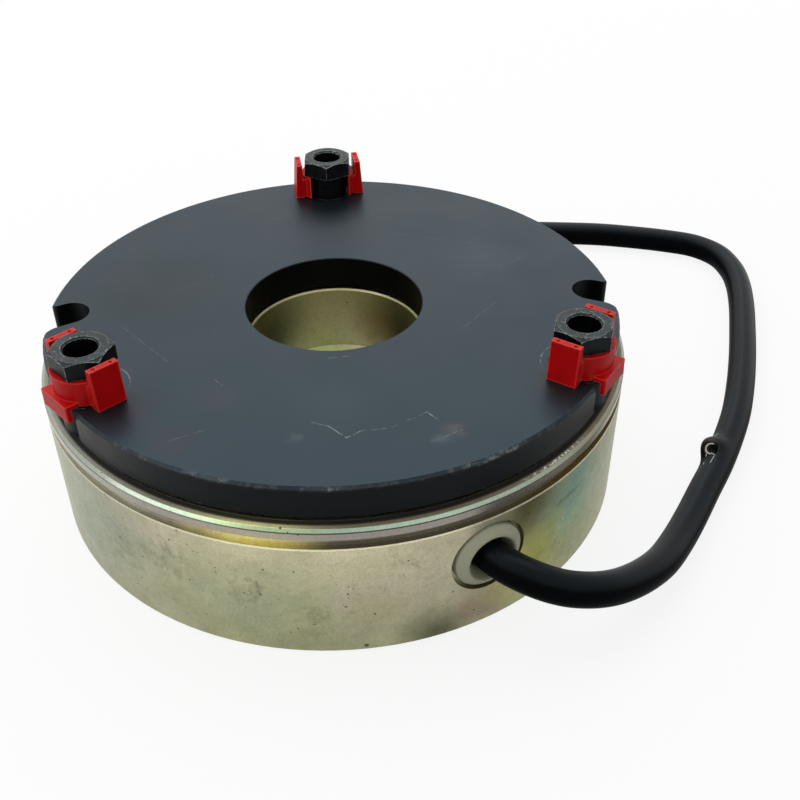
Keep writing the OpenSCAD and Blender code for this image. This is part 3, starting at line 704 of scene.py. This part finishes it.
def place_piece(name, mesh, material, body, replaced):
    """Puts a mesh into the scene with its material, its body and the solids it stands for."""
    mesh.materials.clear()
    mesh.materials.append(material)
    piece = add_object(name, mesh)
    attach(piece, body)
    if replaced:
        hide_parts(*replaced)
    return piece


def make_piece(name, rings, material, replaced=()):
    """Piece of the stator from one stack of rings."""
    return place_piece(name, ring_mesh(name, [rings]), material, "stator", replaced)


def smooth_line(points, steps):
    """Cubic through the points whose slope at each is half the step between its neighbours."""
    ends = np.concatenate([[2 * points[0] - points[1]], points, [2 * points[-1] - points[-2]]])
    a, b, c, d = (ends[i:len(ends) - 3 + i, None, :] for i in range(4))
    t = np.linspace(0, 1, steps, endpoint=False)[None, :, None]
    curve = 0.5 * (2 * b + (c - a) * t + (2 * a - 5 * b + 4 * c - d) * t ** 2
                   + (3 * b - a - 3 * c + d) * t ** 3)
    return np.concatenate([curve.reshape(-1, 3), points[-1:]])


def run_length(line):
    """Distance along a line at each of its points."""
    steps = np.linalg.norm(np.diff(line, axis=0), axis=1)
    return np.concatenate([[0.0], np.cumsum(steps)])


def unit(vector):
    """Vectors of length one."""
    return vector / np.linalg.norm(vector, axis=-1, keepdims=True)


def cross_axes(along):
    """Level axis square to a direction, and the axis square to both."""
    side = unit(np.cross([0.0, 0.0, 1.0], along))
    return side, np.cross(along, side)


def tube_rings(line, radius, columns):
    """Rings square to a line: centre + radius * (cos a * side + sin a * rise), where side is level
    and rise is square to the line and the side. The radius may differ at each point and angle."""
    side, rise = cross_axes(unit(np.gradient(line, axis=0)))
    a = np.linspace(0, FULL_TURN, columns, endpoint=False)[None, :, None]
    reach = np.broadcast_to(radius, (len(line), columns))[:, :, None]
    return line[:, None, :] + reach * (np.cos(a) * side[:, None, :] + np.sin(a) * rise[:, None, :])


def turned_rings(profile, origin, axis, columns):
    """Surface of revolution: each profile point (radius, height) in metres is a ring round an
    axis."""
    axis = unit(np.array(axis))
    side, rise = cross_axes(axis)
    a = np.linspace(0, FULL_TURN, columns, endpoint=False)[None, :, None]
    r, h = (np.array(profile)[:, i, None, None] for i in (0, 1))
    return np.array(origin) + h * axis + r * (np.cos(a) * side + np.sin(a) * rise)


def rounded_profile(corners, radius, steps=5):
    """Profile with each inner corner replaced by an arc-like curve: a quadratic from a point radius
    before the corner to one radius after it, with the corner as its control point."""
    corners = np.array(corners, float)
    before, here, after = corners[:-2], corners[1:-1], corners[2:]
    cut_in = np.minimum(radius, 0.45 * np.linalg.norm(here - before, axis=1))[:, None]
    cut_out = np.minimum(radius, 0.45 * np.linalg.norm(after - here, axis=1))[:, None]
    start = here + unit(before - here) * cut_in
    end = here + unit(after - here) * cut_out
    t = np.linspace(0, 1, steps)[None, :, None]
    arcs = (1 - t) ** 2 * start[:, None] + 2 * t * (1 - t) * here[:, None] + t ** 2 * end[:, None]
    return np.concatenate([corners[:1], arcs.reshape(-1, 2), corners[-1:]])


# Angles in radians up to which faces of a solid count as flat, and over which its edges are sharp
FLAT_ANGLE = math.radians(0.2)
SHARP_ANGLE = math.radians(28)
# Points of a solid that lie this near, in metres, are one
WELD = 2e-6


def rounded_copy(node, name, material, body, rounding):
    """Copy of a solid with doubles merged, flat faces joined, and sharp edges rounded by two facets
    of the given width."""
    work = bmesh.new()
    work.from_mesh(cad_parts[node].data)
    bmesh.ops.remove_doubles(work, verts=work.verts, dist=WELD)
    bmesh.ops.dissolve_limit(work, angle_limit=FLAT_ANGLE, verts=work.verts, edges=work.edges)
    mesh = bpy.data.meshes.new(name)
    work.to_mesh(mesh)
    work.free()
    # Built anew from its points and faces, which leaves the solid's own normals and layers behind
    points = np.zeros(3 * len(mesh.vertices), np.float32)
    mesh.vertices.foreach_get("co", points)
    faces = [face.vertices[:] for face in mesh.polygons]
    mesh.clear_geometry()
    mesh.from_pydata(points.reshape(-1, 3).tolist(), [], faces)
    mesh.shade_smooth()
    mesh.set_sharp_from_angle(angle=SHARP_ANGLE)
    piece = place_piece(name, mesh, material, body, [node])
    bevel = piece.modifiers.new("edges", "BEVEL")
    bevel.width = rounding
    bevel.segments = 2
    bevel.limit_method = "ANGLE"
    bevel.angle_limit = SHARP_ANGLE
    bevel.harden_normals = True
    return piece


# Camera: lens in mm, place in mm, and its axes to the right, up and back
CAMERA_LENS = 46.888
CAMERA_PLACE = (0.026, -254.738, 206.144)
CAMERA_AXES = ((0.99701, -0.07705, -0.00622), (0.05097, 0.59474, 0.80230),
               (-0.05812, -0.80022, 0.59689))
# Lamps: name, place in metres, width and depth in metres, power in watts, and the point they face
LAMPS = [
    ("softbox_overhead", (-0.15, 0.5, 0.95), 1.5, 1.2, 9.0),
    ("softbox_left", (-1.0, -0.45, 0.6), 0.8, 0.8, 3.0),
    ("fill_front", (0.5, -1.1, 0.7), 0.9, 0.7, 1.0),
]
LAMP_TARGET = (0, 0, 0.02)
WHITE = (1.0, 1.0, 1.0, 1.0)
# Floor: half its width, its height, and how far its shading reaches, in metres
FLOOR_HALF = 3.0
FLOOR_Z = -0.2 * MM
FLOOR_SHADED = 0.9


class BRAKE_OT_stage(bpy.types.Operator):
    """Camera at the photograph's angle, soft lamps, white floor and surroundings"""
    bl_idname = "brake.stage"
    bl_label = "Stage"

    def execute(self, context):
        scene = context.scene
        scene.view_settings.view_transform = "Standard"
        lens = bpy.data.cameras.new("camera")
        lens.sensor_width = 36.0
        lens.lens = CAMERA_LENS
        lens.clip_start = 0.01
        scene.camera = add_object("camera", lens)
        turn = Matrix(CAMERA_AXES).transposed().to_4x4()
        scene.camera.matrix_world = Matrix.Translation(Vector(CAMERA_PLACE) * MM) @ turn
        for name, place, width, depth, power in LAMPS:
            lamp = bpy.data.lights.new(name, "AREA")
            lamp.shape = "RECTANGLE"
            lamp.size = width
            lamp.size_y = depth
            lamp.energy = power
            holder = add_object(name, lamp)
            holder.location = place
            aim = Vector(LAMP_TARGET) - Vector(place)
            holder.rotation_mode = "QUATERNION"
            holder.rotation_quaternion = aim.to_track_quat("-Z", "Y")
        self.surroundings(scene)
        self.floor()
        return {"FINISHED"}

    def surroundings(self, scene):
        """White for camera, glossy and transmission rays, and a half light for the rest."""
        world = bpy.data.worlds.new("white_surroundings")
        scene.world = world
        world.use_nodes = True
        tree = world.node_tree
        add = partial(add_node, tree)
        ray = add("LightPath").node.outputs
        kinds = ("Camera", "Glossy", "Transmission")
        seen = largest(add, [ray["Is %s Ray" % kind] for kind in kinds])
        light = add("MapRange", seen, 0.0, 1.0, 0.45, 1.0)
        sky = tree.nodes["Background"].inputs
        fill(tree, [(sky["Color"], WHITE), (sky["Strength"], light)])

    def floor(self):
        """Floor that camera, glossy and transmission rays see as white paper with a contact shadow,
        and that gives a third of its light back to the object."""
        corners = [(-1, -1), (1, -1), (1, 1), (-1, 1)]
        mesh = bpy.data.meshes.new("floor")
        mesh.from_pydata([(x * FLOOR_HALF, y * FLOOR_HALF, FLOOR_Z) for x, y in corners], [],
                         [(0, 1, 2, 3)])
        material = bpy.data.materials.new("white_paper")
        material.use_nodes = True
        tree = material.node_tree
        tree.nodes.remove(tree.nodes["Principled BSDF"])
        add = partial(add_node, tree)
        ray = add("LightPath").node.outputs
        mirrored = largest(add, [ray["Is Glossy Ray"], ray["Is Transmission Ray"]])
        seen = largest(add, [ray["Is Camera Ray"], mirrored])
        tone = add("Mix", seen, (0.3, 0.3, 0.3, 1.0), (0.9, 0.9, 0.9, 1.0), **COLOUR)
        # The paper's own shading fades out within a metre, so that no horizon shows
        near = field_share(add, add("TexCoord", out="Object"), (0, 0, 0), FLOOR_SHADED, 1.0)
        plain = add("MapRange", near, 0.0, 1.0, 1.0, 0.85)
        share = largest(add, [add("Math", ray["Is Camera Ray"], plain, **PRODUCT),
                              add("Math", mirrored, 0.5, **PRODUCT)])
        blend = add("MixShader", share, add("BsdfDiffuse", tone), add("Emission", WHITE, 1.0))
        tree.links.new(blend, tree.nodes["Material Output"].inputs["Surface"])
        mesh.materials.append(material)
        floor = add_object("floor", mesh)


# Torn spot in the sheath, where a core shows: runs along the cable in mm and angles round it in
# degrees from its level side
TORN_RUN = 128.3
TORN_ANGLE = 42.0
TORN_HEIGHT = 2.9
# Reach of its bulge towards the housing, away from it, and in the angle
TORN_REACH = (4.4, 3.9, 43.0)
# Its hole and its slit: run, angle, the reach in both, and the depths in mm
TORN_HOLE = (125.0, 62.0, 1.5, 15.0)
TORN_SLIT = (122.0, 32.0, 4.5, 6.0)
HOLE_DEPTH = 1.7
SLIT_DEPTH = 0.5
# Run from which its crest is bare, and the run over which that grows
TORN_BARE, TORN_FADE = 124, 3
# Finer points of the cable's line reach this far both ways, at this step, in mm
FINE_REACH, FINE_STEP = 12, 0.33
# Rounding of the sheath's end: its run and depth in mm
SHEATH_END_RUN, SHEATH_END_DEPTH = 0.6, 0.5
# Rim of the torn core: run and angle of its centre, how far that stands off the sheath, its radius
# and its wire's in mm, its arc in degrees, and its face along, beside and above the cable
CORE_RIM_SPOT = (124.2, 63.0)
CORE_RIM_OFF = 1.35
CORE_RIM_R, CORE_RIM_WIRE_R = 1.6, 0.27
CORE_RIM_ARC = (78, 312)
CORE_RIM_FACING = (-0.6, 0.12, 0.75)
# Ferrules in mm: wall, end of the collar, start of the pin, rounding, and gap to the floor
FERRULE_WALL = 0.3
FERRULE_COLLAR, FERRULE_PIN = 2.0, 2.4
FERRULE_EDGE = 0.25
FERRULE_GAP = 0.1
# The pin's radius as a share of a core's diameter
PIN_SHARE = 0.325
# Cores: length inside the sheath in mm, distance from the cable's middle as a share of its
# diameter, and how much that grows to the end
CORE_INSIDE = 2.0
CORE_SPREAD, CORE_PARTING = 0.2, 1.5
# Frayed threads: radius, height over the sheath in mm, and the run and angle of both ends
THREAD_R, THREAD_OFF = 0.13, 0.12
TORN_THREADS = [(122.9, 64, 122.2, 78), (121.7, 76, 118.6, 74), (123.7, 46, 121.9, 48),
                (118.7, 49, 117.9, 51)]


def turned_by(angle, centre):
    """Angle from a centre, between -180 and 180 degrees."""
    return (np.asarray(angle) - centre + 180) % 360 - 180


def bulge(run, angle):
    """Height of the torn spot in mm: a bell curve in the run, longer towards the housing, and in
    the angle."""
    towards, away, round_it = TORN_REACH
    ahead = np.asarray(run) - TORN_RUN
    spread = np.where(ahead < 0, towards, away)
    aside = turned_by(angle, TORN_ANGLE)
    return TORN_HEIGHT * np.exp(-(ahead / spread) ** 2 - (aside / round_it) ** 2)


def dent(run, angle, spot, power):
    """Depth from 0 to 1 about a spot: a flat topped bell curve in the run, and one of the given
    power in the angle."""
    at_run, at_angle, run_reach, angle_reach = spot
    return np.exp(-((run - at_run) / run_reach) ** 4
                  - (turned_by(angle, at_angle) / angle_reach) ** power)


class BRAKE_OT_supply_cable(bpy.types.Operator):
    """Sheathed cable along its route with a torn spot, two cores and their ferrules"""
    bl_idname = "brake.supply_cable"
    bl_label = "Supply cable"

    def execute(self, context):
        sizes = context.scene.brake_sizes
        half = sizes.cable_d / 2
        route = CABLE_ROUTE * MM
        route[:, 2] = half + CABLE_ROUTE[:, 2] * (CABLE_EXIT_Z * MM - half)
        line = smooth_line(route, 12)
        line[:, 2] = np.maximum(line[:, 2], half)
        line = self.refined(line)
        cable = self.sheath(line, half, soft_pvc_sheath(context.scene.brake_colours))
        ends = self.cores(line, sizes) + self.frayed_core(line, half)
        return {"FINISHED"}

    def refined(self, line):
        """The line with points every third of a millimetre about the torn spot."""
        run = run_length(line)
        close = np.arange(TORN_RUN - FINE_REACH, TORN_RUN + FINE_REACH, FINE_STEP) * MM
        every = np.union1d(run, close)
        return np.stack([np.interp(every, run, line[:, axis]) for axis in range(3)], axis=-1)

    def sheath(self, line, half, material):
        """Tube whose radius is half the diameter plus the bulge of the torn spot, less a slit that
        runs up to it and a hole in its flank, with a rounded end."""
        columns = 64
        run = run_length(line)[:, None] / MM
        angle = np.degrees(np.linspace(0, FULL_TURN, columns, endpoint=False))[None, :]
        height = bulge(run, angle)
        hole = dent(run, angle, TORN_HOLE, 4)
        slit = dent(run, angle, TORN_SLIT, 2)
        radius = half + (height - HOLE_DEPTH * hole - SLIT_DEPTH * slit) * MM
        from_end = np.clip((run[-1] - run) / SHEATH_END_RUN, 0.0, 1.0)
        radius = radius - SHEATH_END_DEPTH * MM * (1.0 - np.sqrt(1.0 - (1.0 - from_end) ** 2))
        cable = make_piece("supply_cable_sheath", tube_rings(line, radius, columns), material,
                           ["supply_cable"])
        mesh = cable.data
        bare = np.clip((run - TORN_BARE) / TORN_FADE, 0, 1)
        crest = np.clip(height / TORN_HEIGHT * 1.5 - 0.5, 0, 1) * bare
        # The hole attribute carries the painted shade of the hole and the slit
        for name, values in (("torn", crest), ("hole", np.maximum(hole, 0.7 * slit))):
            layer = mesh.attributes.new(name, "FLOAT", "POINT")
            layer.data.foreach_set("value", values.astype(np.float32).ravel())
        uv = np.stack(np.broadcast_arrays(run * MM, angle / 360 * FULL_TURN * half), axis=-1)
        corner = np.zeros(len(mesh.loops), np.int32)
        mesh.loops.foreach_get("vertex_index", corner)
        mesh.uv_layers.new(name="run").data.foreach_set(
            "uv", uv.reshape(-1, 2)[corner].astype(np.float32).ravel())
        return cable

    def spot(self, line, run, angle, radius):
        """Points at runs in mm, angles and radii, each the line's point there + radius * (cos a *
        side + sin a * rise), and the axes along, beside and above them."""
        i = np.searchsorted(run_length(line), np.asarray(run) * MM)
        along = unit(line[i + 1] - line[i - 1])
        side, rise = cross_axes(along)
        a = np.radians(angle)[..., None]
        reach = np.asarray(radius)[..., None]
        return line[i] + reach * (np.cos(a) * side + np.sin(a) * rise), along, side, rise

    def frayed_core(self, line, half):
        """Pale rim of a core's insulation, an open ring that stands on the bulge's flank, and the
        loose threads below it."""
        pale = mottled("frayed_insulation")
        centre, along, side, rise = self.spot(line, *CORE_RIM_SPOT, half + CORE_RIM_OFF * MM)
        ahead, beside, above = CORE_RIM_FACING
        facing = unit(ahead * along + beside * side + above * rise)
        right = unit(-side + (side @ facing) * facing)
        top = np.cross(facing, right)
        steps = 40
        turn = np.radians(np.linspace(*CORE_RIM_ARC, steps))[:, None]
        ring = centre + CORE_RIM_R * MM * (np.cos(turn) * right + np.sin(turn) * top)
        taper = np.sqrt(np.clip(1 - np.linspace(-1, 1, steps) ** 6, 0.05, 1))[:, None]
        made = [make_piece("torn_core_rim", tube_rings(ring, CORE_RIM_WIRE_R * MM * taper, 10),
                           pale)]
        share = np.linspace(0, 1, 9)
        for index, (run0, angle0, run1, angle1) in enumerate(TORN_THREADS):
            run = run0 + (run1 - run0) * share
            angle = angle0 + (angle1 - angle0) * share
            height = bulge(run, angle) + THREAD_OFF
            thread = self.spot(line, run, angle, half + height * MM)[0]
            made.append(make_piece("torn_thread_%d" % (index + 1),
                                   tube_rings(thread, THREAD_R * MM, 8), pale))
        return made

    def cores(self, line, sizes):
        """Two cores that bow from the sheath's end down to the floor, by three squares less two
        cubes of the step, each with a crimped ferrule."""
        end = line[-1]
        along = unit(line[-1] - line[-2])
        left = np.cross([0.0, 0.0, 1.0], along)
        wall = FERRULE_WALL * MM
        rest_z = sizes.core_d / 2 + wall + FERRULE_GAP * MM
        step = np.linspace(0, 1, 40)[:, None]
        bow = step ** 2 * (3 - 2 * step)
        collar, pin, tip = sizes.core_d / 2 + wall, sizes.core_d * PIN_SHARE, 0.2 * wall
        profile = rounded_profile([
            (tip, 0), (collar, 0), (collar, FERRULE_COLLAR * MM), (pin, FERRULE_PIN * MM),
            (pin, sizes.ferrule_len), (tip, sizes.ferrule_len)], FERRULE_EDGE * MM)
        made = []
        sleeves = []
        for node, side, colour in (("lead_core_1", -1, "brown"), ("lead_core_2", 1, "blue")):
            path = (end + along * sizes.core_len * step
                    + left * side * sizes.cable_d * CORE_SPREAD * (1 + CORE_PARTING * bow))
            path[:, 2] = end[2] + (rest_z - end[2]) * bow[:, 0]
            path = np.concatenate([[path[0] - along * CORE_INSIDE * MM], path])
            made.append(make_piece(node + "_insulation", tube_rings(path, sizes.core_d / 2, 20),
                                   mottled(colour + "_core_pvc"), [node]))
            sleeves.append(turned_rings(profile, path[-1], path[-1] - path[-2], 28))
        made.append(place_piece("crimped_ferrules", ring_mesh("crimped_ferrules", sleeves),
                                mottled("tinned_copper"), "stator",
                                ["end_ferrules"]))
        return made


class BRAKE_OT_magnet_housing(bpy.types.Operator):
    """Turned magnet housing with its passivated zinc finish"""
    bl_idname = "brake.magnet_housing"
    bl_label = "Magnet housing"

    def execute(self, context):
        rounded_copy("magnet_housing", "zinc_plated_housing",
                     zinc_chromate_steel(context.scene.brake_colours),
                     "stator", context.scene.brake_sizes.steel_edge)
        return {"FINISHED"}


class BRAKE_OT_armature_plate(bpy.types.Operator):
    """Armature plate with its worn phosphate film"""
    bl_idname = "brake.armature_plate"
    bl_label = "Armature plate"

    def execute(self, context):
        rounded_copy("armature_plate", "phosphated_armature_plate",
                     phosphated_plate_steel(context.scene.brake_colours),
                     "armature", context.scene.brake_sizes.steel_edge)
        return {"FINISHED"}


class BRAKE_OT_sleeve_bolts(bpy.types.Operator):
    """Three blackened hollow hexagon bolts"""
    bl_idname = "brake.sleeve_bolts"
    bl_label = "Sleeve bolts"

    def execute(self, context):
        material = black_oxide_steel(context.scene.brake_colours)
        for where in BOLT_ANGLES:
            rounded_copy("sleeve_bolt_" + where, "hollow_bolt_" + where, material,
                         "stator", context.scene.brake_sizes.bolt_edge)
        return {"FINISHED"}


class BRAKE_OT_transport_clips(bpy.types.Operator):
    """Three moulded red clips under the hexagons"""
    bl_idname = "brake.transport_clips"
    bl_label = "Transport clips"

    def execute(self, context):
        material = moulded_red_plastic(context.scene.brake_colours)
        for where in BOLT_ANGLES:
            rounded_copy("transport_clip_" + where, "moulded_clip_" + where, material,
                         "clip_" + where, context.scene.brake_sizes.clip_edge)
        return {"FINISHED"}


class BRAKE_OT_cable_grommet(bpy.types.Operator):
    """Nylon grommet with a rounded rim and a flared mouth"""
    bl_idname = "brake.cable_grommet"
    bl_label = "Cable grommet"

    def execute(self, context):
        material = mottled("natural_nylon", tuple(context.scene.brake_colours.grommet))
        # Distances from the brake's axis, and radii about the cable, in mm
        seat, neck_len, face, lip = 80.0, 11.0, 82.2, 83.8
        way_r, neck_r, flange_r, lip_out_r, lip_in_r = 4.9, 7.5, 9.5, 7.2, 6.5
        outer = [(way_r, seat - neck_len), (neck_r, seat - neck_len), (neck_r, seat),
                 (flange_r, seat), (flange_r, face), (lip_out_r, lip), (lip_in_r, lip),
                 (way_r, seat), (way_r, seat - neck_len)]
        rounding = context.scene.brake_sizes.grommet_edge
        profile = rounded_profile(np.array(outer) * MM, rounding, 7)[:-1]
        a = math.radians(CABLE_ANGLE)
        rings = turned_rings(profile, (0, 0, CABLE_EXIT_Z * MM), (math.cos(a), math.sin(a), 0), 72)
        place_piece("nylon_grommet", ring_mesh("nylon_grommet", [rings], closed=True, sharp=50),
                    material, "stator", ["cable_grommet"])
        return {"FINISHED"}


class BRAKE_OT_magnet_coil(bpy.types.Operator):
    """Finishes of the bobbin, the winding and the cast resin in the coil chamber"""
    bl_idname = "brake.magnet_coil"
    bl_label = "Magnet coil"

    def execute(self, context):
        finishes = {
            "coil_bobbin": mottled("glass_filled_nylon"),
            "coil_winding": enamelled_copper_winding(),
            "potting_ring": mottled("cast_epoxy_resin"),
        }
        for node, material in finishes.items():
            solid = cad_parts[node]
            solid.data.materials.clear()
            solid.data.materials.append(material)
        return {"FINISHED"}


class BRAKE_OT_compression_springs(bpy.types.Operator):
    """Six helical springs between their pockets and the armature plate"""
    bl_idname = "brake.compression_springs"
    bl_label = "Compression springs"

    def execute(self, context):
        sizes = context.scene.brake_sizes
        material = mottled("oil_tempered_spring_wire")
        low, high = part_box("compression_spring_1")
        for index in range(SPRING_COUNT):
            angle = SPRING_FIRST_ANGLE + index * 360 / SPRING_COUNT
            line = self.helix(polar(angle, SPRING_CIRCLE_R), math.radians(angle), low.z, high.z,
                              sizes)
            spring = make_piece("helical_spring_%d" % (index + 1),
                                tube_rings(line, sizes.wire_d / 2, 12), material,
                                ["compression_spring_%d" % (index + 1)])
            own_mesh(spring)
        return {"FINISHED"}

    def helix(self, centre, turned, low, high, sizes):
        """Seven turns round an upright axis: the wire rises by its own thickness over the first
        and the last turn, and evenly between."""
        turns, steps = 7, 32
        t = np.linspace(0, turns, turns * steps + 1)
        wire = sizes.wire_d
        rise = np.interp(t, [0, 1, turns - 1, turns],
                         [0, wire, high - low - 2 * wire, high - low - wire])
        coil_r = (sizes.spring_d - wire) / 2
        a = FULL_TURN * t + turned
        return np.stack([centre.x + coil_r * np.cos(a), centre.y + coil_r * np.sin(a),
                         low + wire / 2 + rise], axis=-1)


OPERATORS = (
    BRAKE_OT_stage, BRAKE_OT_supply_cable, BRAKE_OT_magnet_housing, BRAKE_OT_armature_plate,
    BRAKE_OT_sleeve_bolts, BRAKE_OT_transport_clips, BRAKE_OT_cable_grommet,
    BRAKE_OT_magnet_coil, BRAKE_OT_compression_springs,
)


class BRAKE_PT_panel(bpy.types.Panel):
    """Buttons that build the brake, and its sizes and colours"""
    bl_label = "Spring applied brake"
    bl_idname = "BRAKE_PT_panel"
    bl_space_type = "VIEW_3D"
    bl_region_type = "UI"
    bl_category = "Brake"

    def draw(self, context):
        layout = self.layout
        for operator in OPERATORS:
            layout.operator(operator.bl_idname)
        for group in (context.scene.brake_sizes, context.scene.brake_colours):
            for name in group.__annotations__:
                layout.prop(group, name)


CLASSES = (BrakeSizes, BrakeColours, *OPERATORS, BRAKE_PT_panel)


def register():
    for cls in CLASSES:
        bpy.utils.register_class(cls)
    bpy.types.Scene.brake_sizes = bpy.props.PointerProperty(type=BrakeSizes)
    bpy.types.Scene.brake_colours = bpy.props.PointerProperty(type=BrakeColours)


def unregister():
    del bpy.types.Scene.brake_colours
    del bpy.types.Scene.brake_sizes
    for cls in reversed(CLASSES):
        bpy.utils.unregister_class(cls)


def main():
    register()
    bpy.ops.brake.stage()
    bpy.ops.brake.supply_cable()
    bpy.ops.brake.magnet_housing()
    bpy.ops.brake.armature_plate()
    bpy.ops.brake.sleeve_bolts()
    bpy.ops.brake.transport_clips()
    bpy.ops.brake.cable_grommet()
    bpy.ops.brake.magnet_coil()
    bpy.ops.brake.compression_springs()


if __name__ == "__main__":
    main()
